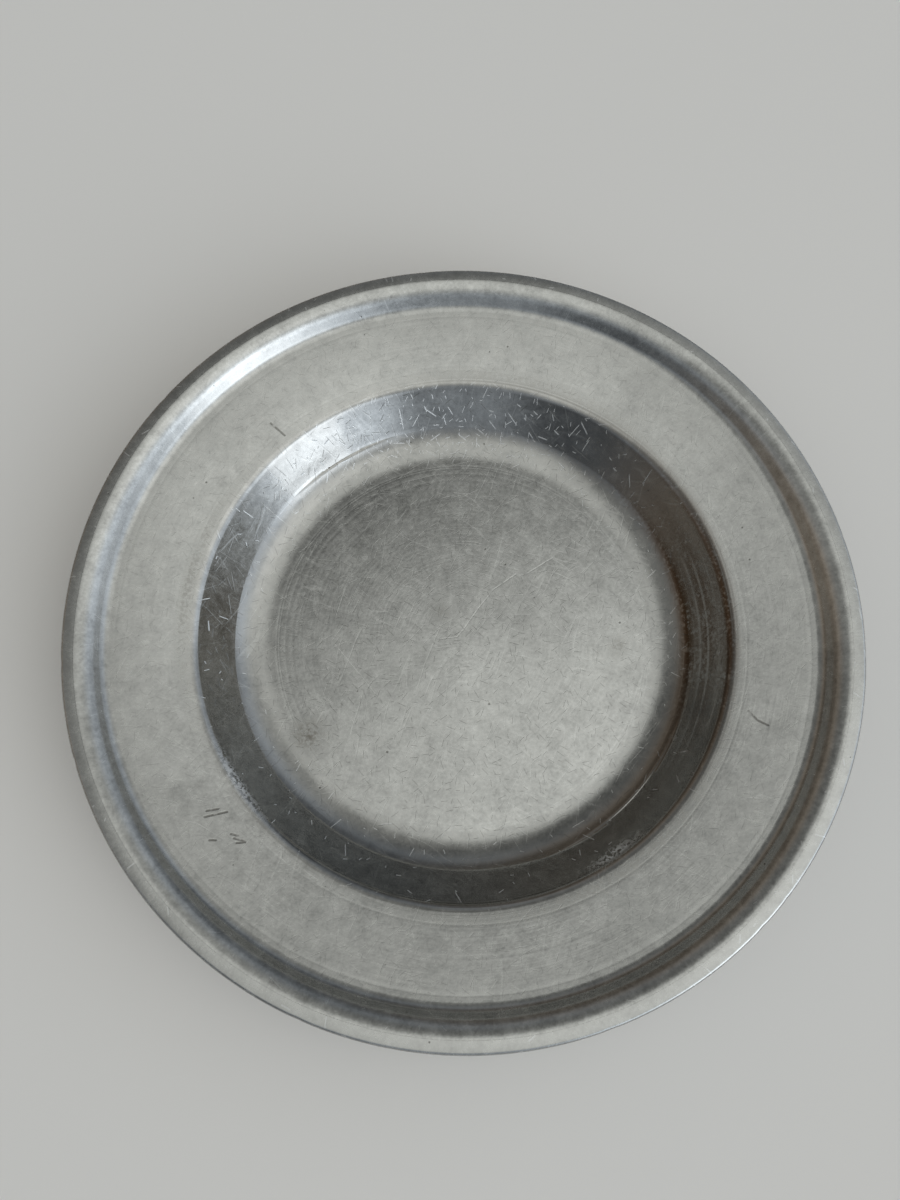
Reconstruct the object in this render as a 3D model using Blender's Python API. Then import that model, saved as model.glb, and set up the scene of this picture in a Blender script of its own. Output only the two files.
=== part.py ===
"""A pewter plate: a raised sheet, an edging band soldered round it, and the solder that joins them.

Metres, +Z up. The origin is on the plate's axis, in the plane that it stands on.
"""

from math import cos, pi, radians, sin, tan

import bmesh
import bpy
from mathutils import Vector

for old in list(bpy.data.objects):
    bpy.data.objects.remove(old)

MM = 0.001

# Driving dimensions: radii are from the axis, heights from the standing plane
PLATE_RADIUS = 90.0 * MM
SHEET_THICKNESS = 1.8 * MM
FLOOR_RADIUS = 46.3 * MM
FOOT_RADIUS = 55.2 * MM
FOOT_ANGLE = radians(43)
FOOT_GROWTH = 1.4
WALL_ANGLE = radians(52.75)
SHOULDER_ROUNDING = 3.2 * MM
BORDER_RADIUS = 80.7 * MM
BORDER_HEIGHT = 18.35 * MM
BORDER_ANGLE = radians(12)
HOLLOW_ROUNDING = 3.0 * MM
HOLLOW_ANGLE = radians(55)
CREST_RADIUS = 87.0 * MM
CREST_ROUNDING = 5.4 * MM
CREST_ANGLE = radians(8)

# Edging band
BAND_EDGE_HEIGHT = 22.05 * MM
BAND_NOSE_ROUNDING = 0.9 * MM
BAND_NOSE_TOP = radians(72)
BAND_NOSE_UNDER = radians(-60)
BAND_BACK_DEPTH = 3.0 * MM
BEVEL_DEPTH = 1.9 * MM
SOLDER_LEG = 1.0 * MM
JOINT_GAP = 0.3 * MM

# Fineness of the turned surfaces
TURN_STEPS = 96
FOOT_STEPS = 6
SHOULDER_STEPS = 5
HOLLOW_STEPS = 5
CREST_STEPS = 6
NOSE_STEPS = 5
SMOOTH_ANGLE = radians(35)
MERGE_DISTANCE = 0.001 * MM

# Finishes: linear colour and roughness
SHEET_COLOUR = (0.4, 0.4, 0.39)
SHEET_ROUGHNESS = 0.25
BAND_COLOUR = (0.36, 0.36, 0.35)
BAND_ROUGHNESS = 0.28
SOLDER_COLOUR = (0.24, 0.24, 0.23)
SOLDER_ROUGHNESS = 0.5


def direction(angle):
    """Unit vector in the section plane (radius, height) that climbs outwards at the given angle."""
    return Vector((cos(angle), sin(angle)))


def meet(point_a, angle_a, point_b, angle_b):
    """Point where two sloping lines of the section cross."""
    radius = (point_b.y - point_a.y + point_a.x * tan(angle_a) - point_b.x * tan(angle_b)) / (
        tan(angle_a) - tan(angle_b)
    )
    return Vector((radius, point_a.y + (radius - point_a.x) * tan(angle_a)))


def turn_arc(start, angle_from, angle_to, rounding, steps):
    """Arc of the section that leaves start at one slope and ends at another, ends included."""
    bend = 1 if angle_to > angle_from else -1
    centre = start + bend * rounding * direction(angle_from + pi / 2)
    angles = [angle_from + (angle_to - angle_from) * i / steps for i in range(steps + 1)]
    return [centre - bend * rounding * direction(a + pi / 2) for a in angles]


def round_corner(corner, angle_in, angle_out, rounding, steps):
    """Arc that rounds the corner between two slopes, touching both."""
    setback = rounding * tan(abs(angle_out - angle_in) / 2)
    start = corner - setback * direction(angle_in)
    return turn_arc(start, angle_in, angle_out, rounding, steps)


def wall_foot():
    """Curve from the floor's edge to the foot of the wall; its slope grows with a power of the way gone."""
    step = (FOOT_RADIUS - FLOOR_RADIUS) / FOOT_STEPS
    points = [Vector((FLOOR_RADIUS, SHEET_THICKNESS))]
    for i in range(FOOT_STEPS):
        angle = FOOT_ANGLE * ((i + 0.5) / FOOT_STEPS) ** FOOT_GROWTH
        points.append(points[-1] + step * Vector((1, tan(angle))))
    return points


def upper_side():
    """Upper side of the sheet, from the axis out to the crest, where the steep hollow rounds over."""
    foot = wall_foot()
    border = Vector((BORDER_RADIUS, BORDER_HEIGHT))
    shoulder = meet(foot[-1], WALL_ANGLE, border, BORDER_ANGLE)
    hollow = turn_arc(border, BORDER_ANGLE, HOLLOW_ANGLE, HOLLOW_ROUNDING, HOLLOW_STEPS)
    crest_width = CREST_ROUNDING * (sin(HOLLOW_ANGLE) - sin(CREST_ANGLE))
    climb = (CREST_RADIUS - crest_width - hollow[-1].x) / cos(HOLLOW_ANGLE)
    steep_end = hollow[-1] + climb * direction(HOLLOW_ANGLE)
    crest = turn_arc(steep_end, HOLLOW_ANGLE, CREST_ANGLE, CREST_ROUNDING, CREST_STEPS)
    rounded = round_corner(shoulder, WALL_ANGLE, BORDER_ANGLE, SHOULDER_ROUNDING, SHOULDER_STEPS)
    return [Vector((0, SHEET_THICKNESS)), *foot, *rounded, *hollow, *crest]


def shifted(points, distance):
    """The same line moved square to itself, to its lower and outer side."""
    moved = []
    for i, point in enumerate(points):
        before = (point - points[i - 1]).normalized() if i else None
        after = (points[i + 1] - point).normalized() if i + 1 < len(points) else None
        along = ((before or after) + (after or before)).normalized()
        stretch = along.dot(before or after)
        moved.append(point + distance / stretch * Vector((along.y, -along.x)))
    return moved


def turned(name, section, material, closed):
    """Solid made by turning a section, given as (radius, height) points, once round the axis."""
    mesh = bpy.data.meshes.new(name)
    turning = bmesh.new()
    verts = [turning.verts.new((p.x, 0, p.y)) for p in section]
    pairs = zip(verts, verts[1:] + verts[:1]) if closed else zip(verts, verts[1:])
    edges = [turning.edges.new(pair) for pair in pairs]
    bmesh.ops.spin(
        turning,
        geom=verts + edges,
        cent=(0, 0, 0),
        axis=(0, 0, 1),
        angle=2 * pi,
        steps=TURN_STEPS,
        use_merge=True,
    )
    bmesh.ops.remove_doubles(turning, verts=turning.verts, dist=MERGE_DISTANCE)
    bmesh.ops.recalc_face_normals(turning, faces=turning.faces)
    turning.to_mesh(mesh)
    turning.free()
    mesh.shade_smooth()
    mesh.set_sharp_from_angle(angle=SMOOTH_ANGLE)
    mesh.materials.append(material)
    piece = bpy.data.objects.new(name, mesh)
    bpy.context.collection.objects.link(piece)
    return piece


def metal(name, colour, roughness):
    """Bare metal finish of one sub-part."""
    material = bpy.data.materials.new(name)
    material.use_nodes = True
    shader = material.node_tree.nodes["Principled BSDF"]
    shader.inputs["Base Color"].default_value = (*colour, 1)
    shader.inputs["Roughness"].default_value = roughness
    shader.inputs["Metallic"].default_value = 1.0
    return material


def back_point(upper, height):
    """Point on the steep outer side of the sheet, behind the hollow, at the given height."""
    steep_end = upper[-1 - CREST_STEPS]
    level = steep_end + SHEET_THICKNESS * Vector((sin(HOLLOW_ANGLE), -cos(HOLLOW_ANGLE)))
    return Vector((level.x + (height - level.y) / tan(HOLLOW_ANGLE), height))


def plate_body(upper):
    """The sheet: its rim ends in a bevel that runs from the crest down to the outer side."""
    lower = shifted(upper, SHEET_THICKNESS)[: -1 - CREST_STEPS]
    lower.append(back_point(upper, upper[-1].y - BEVEL_DEPTH))
    pewter = metal("satin pewter", SHEET_COLOUR, SHEET_ROUGHNESS)
    return turned("plate_body", upper + lower[::-1], pewter, closed=False)


def rim_band(upper):
    """The edging band: it meets the bevel at the crest, runs out to a round nose and laps the sheet."""
    crest = upper[-1]
    bevel_foot = back_point(upper, crest.y - BEVEL_DEPTH)
    bottom = crest.y - BAND_BACK_DEPTH
    gap = Vector((JOINT_GAP, 0))
    nose_centre = Vector((PLATE_RADIUS - BAND_NOSE_ROUNDING, BAND_EDGE_HEIGHT))
    shares = [i / NOSE_STEPS for i in range(NOSE_STEPS + 1)]
    nose_angles = [BAND_NOSE_TOP + (BAND_NOSE_UNDER - BAND_NOSE_TOP) * s for s in shares]
    nose = [nose_centre + BAND_NOSE_ROUNDING * direction(a) for a in nose_angles]
    heel = Vector((nose[-1].x - BAND_NOSE_ROUNDING, bottom))
    lap = back_point(upper, bottom)
    section = [crest + gap, *nose, heel, lap + gap, bevel_foot + gap]
    pewter = metal("edge pewter", BAND_COLOUR, BAND_ROUGHNESS)
    return turned("rim_band", section, pewter, closed=True)


def solder_fillet(upper):
    """The solder in the corner under the band, against the outer side of the sheet."""
    top = upper[-1].y - BAND_BACK_DEPTH - JOINT_GAP
    gap = Vector((JOINT_GAP / sin(HOLLOW_ANGLE), 0))
    inner = back_point(upper, top) + gap
    foot = back_point(upper, top - SOLDER_LEG) + gap
    outer = inner + Vector((SOLDER_LEG, 0))
    waist = (inner + foot + outer) / 3
    solder = metal("solder", SOLDER_COLOUR, SOLDER_ROUGHNESS)
    return turned("solder_fillet", [inner, outer, waist, foot], solder, closed=True)


profile = upper_side()
axis = bpy.data.objects.new("plate_axis", None)
bpy.context.collection.objects.link(axis)
for part in (plate_body(profile), rim_band(profile), solder_fillet(profile)):
    part.parent = axis
print("crest radius and height, mm:", [round(v / MM, 2) for v in profile[-1]])
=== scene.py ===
# %% [markdown]
# # A worn pewter plate
#
# This lesson dresses one plate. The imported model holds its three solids: the sheet, the edging band and
# the line of solder under the edge. Here each of them becomes a fine turned surface, worked out with
# numpy, and gets the finish that years of scouring leave on a soft grey metal.

import bpy
import numpy as np
from mathutils import Matrix, Vector


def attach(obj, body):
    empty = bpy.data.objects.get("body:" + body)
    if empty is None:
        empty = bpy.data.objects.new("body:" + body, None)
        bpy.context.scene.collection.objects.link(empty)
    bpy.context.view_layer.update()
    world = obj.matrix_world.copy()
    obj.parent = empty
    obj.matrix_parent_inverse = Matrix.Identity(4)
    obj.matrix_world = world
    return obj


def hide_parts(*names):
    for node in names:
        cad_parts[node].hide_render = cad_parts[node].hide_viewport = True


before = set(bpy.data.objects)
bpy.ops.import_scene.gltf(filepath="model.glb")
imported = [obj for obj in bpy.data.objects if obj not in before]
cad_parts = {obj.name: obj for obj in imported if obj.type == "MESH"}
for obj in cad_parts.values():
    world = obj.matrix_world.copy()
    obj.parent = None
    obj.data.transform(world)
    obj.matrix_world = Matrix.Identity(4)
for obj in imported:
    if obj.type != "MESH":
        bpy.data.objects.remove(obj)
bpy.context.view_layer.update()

MM = 0.001
print("nodes:", sorted(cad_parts))

# %% [markdown]
# ## The camera
#
# A round plate tells where it is seen from. Each of its rings shows as an ellipse, and the sizes and
# offsets of those ellipses give the tilt and the distance of the camera. One could turn a camera by
# hand until the rings fit, but the fitted numbers are shorter and can be checked.

# %% Place the camera
IMAGE_WIDTH, IMAGE_HEIGHT = 900, 1200
LENS, SENSOR = 27.0, 36.0
RIM_HEIGHT = 22.25 * MM
RIM_CENTRE_PIXEL = (462.9, 616.7)
TILT = np.radians(15.5)
DISTANCE = 202.6 * MM

pixels_per_slope = LENS / SENSOR * IMAGE_HEIGHT
right = np.array([1.0, 0.0, 0.0])
up = np.array([0.0, np.cos(TILT), np.sin(TILT)])
back = np.array([0.0, -np.sin(TILT), np.cos(TILT)])
aside = (RIM_CENTRE_PIXEL[0] - IMAGE_WIDTH / 2) / pixels_per_slope
below = (RIM_CENTRE_PIXEL[1] - IMAGE_HEIGHT / 2) / pixels_per_slope
eye = np.array([0.0, 0.0, RIM_HEIGHT]) + DISTANCE * (back + below * up - aside * right)

camera = bpy.data.objects.new("camera", bpy.data.cameras.new("camera"))
camera.data.lens = LENS
camera.data.sensor_width = SENSOR
camera.data.clip_start = 10 * MM
turn = Matrix(np.stack([right, up, back], axis=1).tolist()).to_4x4()
camera.matrix_world = Matrix.Translation(eye.tolist()) @ turn
bpy.context.collection.objects.link(camera)
bpy.context.scene.camera = camera
bpy.context.scene.view_settings.view_transform = "Standard"
print("camera at, mm:", (eye / MM).round(1))

# %% [markdown]
# ## Small helpers for node trees
#
# Every finish below is a tree of nodes. Blender's calls for adding and joining nodes are long, so a few
# short helpers carry them: one adds a node and fills its inputs, and others do a sum, make a soft mask
# between two limits, mix two colours and open an empty group.


# %% Helpers that add nodes
def wire(tree, kind, inputs=(), **settings):
    """Adds one shader node. An input is a plain value, or the socket that is joined to it."""
    node = tree.nodes.new("ShaderNode" + kind)
    for name, value in settings.items():
        setattr(node, name, value)
    for key, value in dict(inputs).items():
        if isinstance(value, bpy.types.NodeSocket):
            tree.links.new(value, node.inputs[key])
        else:
            node.inputs[key].default_value = value
    return node


def calc(tree, operation, *values):
    """One step of arithmetic on values or sockets."""
    return wire(tree, "Math", enumerate(values), operation=operation).outputs[0]


def soft_step(tree, value, low, high):
    """Mask that climbs smoothly from 0 at low to 1 at high, or falls where low is above high."""
    inputs = {"Value": value, "From Min": low, "From Max": high}
    return wire(tree, "MapRange", inputs, interpolation_type="SMOOTHSTEP").outputs["Result"]


def blend(tree, share, first, second):
    """Colour between two colours; the share is 0 for the first and 1 for the second."""
    return wire(tree, "Mix", {0: share, 6: first, 7: second}, data_type="RGBA").outputs[2]


def new_group(name, inputs, outputs):
    """Empty shader group. Inputs are (name, socket kind, start value); outputs are (name, socket kind)."""
    group = bpy.data.node_groups.new(name, "ShaderNodeTree")
    for title, kind, start in inputs:
        socket = group.interface.new_socket(title, in_out="INPUT", socket_type="NodeSocket" + kind)
        socket.default_value = start
    for title, kind in outputs:
        group.interface.new_socket(title, in_out="OUTPUT", socket_type="NodeSocket" + kind)
    return group, group.nodes.new("NodeGroupInput").outputs, group.nodes.new("NodeGroupOutput").inputs


print("node helpers ready")

# %% [markdown]
# ## Floor and light
#
# Metal has hardly a colour of its own: what it shows is the room. The light is a plain studio: one wide
# soft box overhead to the right, a second one low on the right like a window with a soft glow beside it,
# and a dim room that is lighter on the right than on the left, behind the viewer or at the far end, with a
# paler strip round it at mid height. A photographed room could be wrapped round the plate instead, but a
# few numbers by direction are enough.

# %% Pale floor
FLOOR_HALF = 3.0
FLOOR_DROP = 0.1 * MM
FLOOR_COLOUR, FLOOR_ROUGHNESS = (0.74, 0.725, 0.70, 1), 0.9


def plain_floor():
    """Square sheet just under the plate's standing plane."""
    side = np.array([-FLOOR_HALF, FLOOR_HALF])
    x, y = np.meshgrid(side, side)
    corners = np.stack([x, y, np.full_like(x, -FLOOR_DROP)], axis=-1).reshape(-1, 3)
    mesh = bpy.data.meshes.new("floor")
    mesh.from_pydata(corners.tolist(), [], [(0, 1, 3, 2)])
    matte = bpy.data.materials.new("pale floor")
    matte.use_nodes = True
    shader = matte.node_tree.nodes["Principled BSDF"]
    shader.inputs["Base Color"].default_value = FLOOR_COLOUR
    shader.inputs["Roughness"].default_value = FLOOR_ROUGHNESS
    mesh.materials.append(matte)
    floor = bpy.data.objects.new("floor", mesh)
    bpy.context.collection.objects.link(floor)


plain_floor()
print("floor colour:", FLOOR_COLOUR[:3])

# %% Soft boxes and a plain room
ROOM_DARK, ROOM_HALF, ROOM_LIGHT, ROOM_STRIP, ROOM_GLOW = 0.23, 0.11, 0.70, 0.14, 1.25
LIGHT_SIDE, GLOW_SIDE = (0.75, -0.45, 0.48), (0.65, -0.68, 0.34)
NEAR_SHARE, FAR_SHARE = 0.42, 0.52
WARM_SIDE, PLAIN_SIDE, COOL_SIDE = (1.16, 0.98, 0.79, 1), (0.99, 1.0, 0.96, 1), (0.92, 1.0, 1.09, 1)
# Where each soft step starts and ends: on the cosine to a side, on Y and on Z
HALF_STEP, FULL_STEP, GLOW_STEP = (-0.60, 0.0), (0.14, 0.43), (0.86, 0.99)
NEAR_STEP, FAR_STEP = (-0.30, -0.85), (0.20, 0.36)
LOW_STEP, STRIP_STEP = (0.90, 0.45), (0.30, 0.55)


def soft_box(name, place, aim, size, radiance):
    """Rectangular lamp; its power is the wanted radiance times pi times its area."""
    data = bpy.data.lights.new(name, "AREA")
    data.shape = "RECTANGLE"
    data.size, data.size_y = size
    data.energy = radiance * np.pi * size[0] * size[1]
    lamp = bpy.data.objects.new(name, data)
    lamp.location = place
    lamp.rotation_euler = (Vector(aim) - Vector(place)).to_track_quat("-Z", "Y").to_euler()
    lamp.visible_camera = False
    bpy.context.collection.objects.link(lamp)
    print(f"{name}: {data.energy:.2f} W")


def plain_room():
    """World by direction. The cosine of the angle to the light side lifts a dark level in two soft steps.
    The far side (+Y) is dimmed, a paler strip runs round at mid height, the near side (-Y) is dimmed
    too, and a soft glow is added. The dark side is a little warm, and low daylight on the light side a
    little cool."""
    world = bpy.data.worlds.new("plain room")
    bpy.context.scene.world = world
    world.use_nodes = True
    tree = world.node_tree
    way = wire(tree, "TexCoord").outputs["Generated"]
    axis = wire(tree, "SeparateXYZ", {0: way}).outputs
    light, glow = [
        wire(tree, "VectorMath", {0: way, 1: side}, operation="DOT_PRODUCT").outputs["Value"]
        for side in (LIGHT_SIDE, GLOW_SIDE)
    ]
    half = soft_step(tree, light, *HALF_STEP)
    full = soft_step(tree, light, *FULL_STEP)
    near = soft_step(tree, axis["Y"], *NEAR_STEP)
    far = soft_step(tree, axis["Y"], *FAR_STEP)
    low = soft_step(tree, axis["Z"], *LOW_STEP)
    strip = calc(tree, "MULTIPLY", low, soft_step(tree, axis["Z"], *STRIP_STEP))
    level = calc(tree, "MULTIPLY_ADD", half, ROOM_HALF, ROOM_DARK)
    level = calc(tree, "MULTIPLY_ADD", full, ROOM_LIGHT, level)
    level = calc(tree, "MULTIPLY", level, calc(tree, "MULTIPLY_ADD", far, FAR_SHARE - 1, 1))
    level = calc(tree, "MULTIPLY_ADD", strip, ROOM_STRIP, level)
    level = calc(tree, "MULTIPLY", level, calc(tree, "MULTIPLY_ADD", near, NEAR_SHARE - 1, 1))
    level = calc(tree, "MULTIPLY_ADD", soft_step(tree, glow, *GLOW_STEP), ROOM_GLOW, level)
    daylight = blend(tree, low, PLAIN_SIDE, COOL_SIDE)
    colour = blend(tree, half, WARM_SIDE, daylight)
    backdrop = tree.nodes["Background"]
    tree.links.new(colour, backdrop.inputs["Color"])
    tree.links.new(level, backdrop.inputs["Strength"])


plain_room()
soft_box("overhead soft box", (1.4, -0.5, 2.5), (1.4, -0.5, 0), (1.6, 1.6), 0.30)
soft_box("window soft box", (1.08, -0.92, 0.48), (0, 0, 0.02), (0.62, 0.95), 0.95)

# %% [markdown]
# ## The section of the sheet
#
# The plate was turned, so one line drawn from its middle to its edge holds the whole form: the flat
# floor, a foot that steepens, a wall with a slow curve, a tight shoulder, the broad border, a hollow that
# climbs, and a crest that rounds over. A spun mesh would do, but as arrays of (radius, height) the same
# points can also carry grooves and wear. All lengths here are in millimetres.


# %% Lines and arcs of a section
def slope_arc(start, slope_from, slope_to, rounding, count):
    """Arc in (radius, height). The slope a runs evenly from its first value to its last, in degrees, and
    the point moves from start by the rounding times (sin a - sin a0, cos a0 - cos a), which changes sign
    where the arc is a hump."""
    slope = np.radians(np.linspace(slope_from, slope_to, count))
    rise = np.stack([np.sin(slope) - np.sin(slope[0]), np.cos(slope[0]) - np.cos(slope)], axis=-1)
    return np.asarray(start) + rounding * np.sign(slope_to - slope_from) * rise


def steepening(start, end_radius, end_slope, growth, count):
    """Curve in (radius, height): at each share of the way out, the slope is the end slope times
    share^growth, and the height is the running sum of the steps' tangents times their width."""
    radius = np.linspace(start[0], end_radius, count)
    share = (np.arange(count - 1) + 0.5) / (count - 1)
    climb = np.tan(np.radians(end_slope * share**growth)) * (radius[1] - radius[0])
    return np.stack([radius, start[1] + np.concatenate([[0], np.cumsum(climb)])], axis=-1)


def bow(start, pull, end, count):
    """Quadratic curve (1-t)^2 start + 2t(1-t) pull + t^2 end, for t from 0 to 1."""
    t = np.linspace(0, 1, count)[:, None]
    return (1 - t) ** 2 * start + 2 * t * (1 - t) * pull + t**2 * end


def line_over(start, end, count, marks):
    """Straight line from start to end, with extra points close round each groove that crosses it."""
    spread = np.array([-1.6, -0.8, 0.0, 0.8, 1.6])
    margin = 0.5
    inside = [mark for mark in marks if start[0] + margin < mark[0] < end[0] - margin]
    extra = [mark[0] + mark[1] * spread for mark in inside]
    radii = np.unique(np.concatenate([np.linspace(start[0], end[0], count), *extra]))
    share = (radii - start[0]) / (end[0] - start[0])
    return np.stack([radii, start[1] + share * (end[1] - start[1])], axis=-1)


print("hump of 2 mm rounding rises", slope_arc((0, 0), 90, 0, 2, 5)[-1].round(2), "mm")

# %% Sizes of the section, as in the solids
THICKNESS = 1.8
FLOOR_EDGE = np.array([46.3, THICKNESS])
FOOT_RADIUS, FOOT_SLOPE, FOOT_GROWTH = 55.2, 43, 1.4
WALL_LOW, WALL_HIGH, BORDER_SLOPE = 51, 54.5, 12
STEEP_SLOPE, CREST_SLOPE = 55, 8
SHOULDER_ROUNDING, HOLLOW_ROUNDING = 3.2, 3.0
CREST_ROUNDING, ARRIS_ROUNDING = 5.4, 0.5
BORDER_END = np.array([80.7, 18.35])
CREST_RADIUS = 87.0
LEDGE_WIDTH, LEDGE_SLOPE = 0.25, 4


def wall_rounding(foot):
    """Rounding of the wall's slow curve, for which the shoulder ends on the border: the height still to
    climb over the border's line, divided by what each millimetre of rounding gains on that line."""
    low, high, border = np.radians([WALL_LOW, WALL_HIGH, BORDER_SLOPE])
    shoulder_run = SHOULDER_ROUNDING * (np.sin(high) - np.sin(border))
    shoulder_rise = SHOULDER_ROUNDING * (np.cos(border) - np.cos(high))
    span = BORDER_END[0] - foot[0] - shoulder_run
    below = BORDER_END[1] - span * np.tan(border) - foot[1] - shoulder_rise
    return below / (np.cos(low) - np.cos(high) - (np.sin(high) - np.sin(low)) * np.tan(border))


foot_line = steepening(FLOOR_EDGE, FOOT_RADIUS, FOOT_SLOPE, FOOT_GROWTH, 19)
WALL_FOOT = foot_line[-1]
WALL_ROUNDING = wall_rounding(WALL_FOOT)
ledge_turn = np.degrees(LEDGE_WIDTH / WALL_ROUNDING / np.cos(np.radians(WALL_LOW)))
ledge_line = slope_arc(WALL_FOOT, WALL_LOW, WALL_LOW + ledge_turn, WALL_ROUNDING, 5)
wall_line = slope_arc(ledge_line[-1], WALL_LOW + ledge_turn, WALL_HIGH, WALL_ROUNDING, 13)
shoulder = slope_arc(wall_line[-1], WALL_HIGH, BORDER_SLOPE, SHOULDER_ROUNDING, 14)
hollow = slope_arc(BORDER_END, BORDER_SLOPE, STEEP_SLOPE, HOLLOW_ROUNDING, 14)
crest_width = CREST_ROUNDING * (np.sin(np.radians(STEEP_SLOPE)) - np.sin(np.radians(CREST_SLOPE)))
steep_run = CREST_RADIUS - crest_width - hollow[-1, 0]
steep_way = np.array([1, np.tan(np.radians(STEEP_SLOPE))])
steep_line = np.linspace(hollow[-1], hollow[-1] + steep_run * steep_way, 9)
crest_line = slope_arc(steep_line[-1], STEEP_SLOPE, CREST_SLOPE, CREST_ROUNDING, 18)
arris = slope_arc(crest_line[-1], CREST_SLOPE, 0, ARRIS_ROUNDING, 7)
print("foot ends at", WALL_FOOT.round(2), "shoulder", shoulder[0].round(2), "crest", crest_line[-1].round(2))

# %% [markdown]
# ## Turned lines
#
# A lathe leaves lines: rings on the floor, one fine groove on the wall under the shoulder, and one near
# each edge of the border. They are real dips of up to two hundredths of a millimetre, so they go into the
# section and not only into the finish, which could only pretend to have them.

# %% Upper side with its turned lines
GROOVES = np.array([
    # radius, half width, depth
    [31.0, 0.40, 0.005],
    [37.2, 0.35, 0.007],
    [41.8, 0.30, 0.009],
    [43.6, 0.25, 0.010],
    [45.1, 0.20, 0.012],
    [45.7, 0.20, 0.012],
    [61.4, 0.20, 0.020],
    [66.0, 0.20, 0.010],
    [79.6, 0.25, 0.010],
])


def groove_depth(radius):
    """Sum of bell curves, depth times exp(-((radius - place) / half width)^2), one for each groove."""
    place, half_width, depth = GROOVES.T[:, None, :]
    return (depth * np.exp(-(((radius[:, None] - place) / half_width) ** 2))).sum(axis=1)


floor_line = line_over(np.array([0.0, THICKNESS]), FLOOR_EDGE, 26, GROOVES)
border_line = line_over(shoulder[-1], BORDER_END, 18, GROOVES)
upper_parts = [floor_line, foot_line, ledge_line, wall_line, shoulder]
upper_parts += [border_line, hollow, steep_line, crest_line, arris]
print("points on the upper side:", sum(map(len, upper_parts)))

# %% [markdown]
# ## Polish, wear and grime along the section
#
# The finish follows the form: the wall is polished, the edges are rubbed bright, and the corners keep
# dirt. Painting such masks by hand is possible, but here every stretch of the section simply states
# three numbers at its two ends, and they travel with the points as attributes of the mesh.

# %% Finish of each stretch
STRETCH_FINISH = np.array([
    # polish, wear and grime at the start, then at the end, of each stretch from the floor to the arris
    [[0.00, 0.3, 0.0], [0.00, 0.3, 0.05]],
    [[0.30, 0.0, 0.1], [0.80, 0.0, 0.30]],
    [[0.80, 0.3, 0.0], [0.80, 0.3, 0.00]],
    [[0.95, 0.0, 0.0], [1.00, 0.0, 0.05]],
    [[1.00, 0.0, 0.1], [0.10, 1.2, 0.00]],
    [[0.00, 1.2, 0.0], [0.00, 0.0, 0.15]],
    [[0.00, 0.0, 0.1], [0.00, 0.0, 0.10]],
    [[0.05, 0.0, 0.1], [0.05, 0.0, 0.05]],
    [[0.05, 0.1, 0.0], [0.05, 0.4, 0.00]],
    [[0.05, 0.5, 0.0], [0.05, 0.8, 0.10]],
])
UNDER_FINISH = np.array([0.0, 0.0, 0.25])


def joined(parts, finishes):
    """One line from several: the first point of each later part repeats the last one and is dropped."""
    lines = [part[bool(i):] for i, part in enumerate(parts)]
    shares = [np.linspace(0, 1, len(part))[bool(i):, None] for i, part in enumerate(parts)]
    values = [f[0] + share * (f[1] - f[0]) for f, share in zip(finishes, shares)]
    return np.concatenate(lines), np.concatenate(values)


upper_line, upper_finish = joined(upper_parts, STRETCH_FINISH)
print("upper side:", upper_line.shape, "finish:", upper_finish.shape)


# %% Underside and whole section
def square_off(line):
    """Unit vectors square to a line, on its upper side: the direction of travel turned a quarter left."""
    travel = np.gradient(line, axis=0)
    travel /= np.linalg.norm(travel, axis=1, keepdims=True)
    return np.stack([-travel[:, 1], travel[:, 0]], axis=-1)


FLOOR_POINTS = 9
plain_parts = [
    np.linspace([0.0, THICKNESS], FLOOR_EDGE, FLOOR_POINTS),
    foot_line[::3],
    slope_arc(WALL_FOOT, WALL_LOW, WALL_HIGH, WALL_ROUNDING, 5),
    shoulder[::2],
    np.linspace(shoulder[-1], BORDER_END, 6),
    np.concatenate([hollow[::2], steep_line[1:]]),
]
plain_line = joined(plain_parts, np.zeros((len(plain_parts), 2, 3)))[0]
under_line = plain_line - THICKNESS * square_off(plain_line)
under_line[:FLOOR_POINTS, 1] = 0.0
under_line[0, 0] = 0.0
BEVEL_DEPTH = 1.9
back_lean = 1 / np.tan(np.radians(STEEP_SLOPE))
to_bevel = crest_line[-1, 1] - BEVEL_DEPTH - under_line[-1, 1]
bevel_foot = under_line[-1] + to_bevel * np.array([back_lean, 1])
grooved_line = upper_line - groove_depth(upper_line[:, 0])[:, None] * square_off(upper_line)
grooved_line[0, 0] = 0.0
sheet_section = np.concatenate([grooved_line, bevel_foot[None], under_line[::-1]])
under_finish = np.tile(UNDER_FINISH, (len(under_line) + 1, 1))
sheet_finish = np.concatenate([upper_finish, under_finish])
print("section of the sheet:", len(sheet_section), "points; bevel foot at", bevel_foot.round(2))

# %% [markdown]
# ## From section to surface
#
# A surface of revolution is a function of two parameters: the place along the section and the turn round
# the axis. Real pewter is soft, so an old plate is no longer quite round or flat. The same small
# departures are added to every piece: a slight oval, a rim that dips and rises, and a few shallow dents.
# The Screw modifier would turn the section too, but arrays can be bent on the way.

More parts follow.
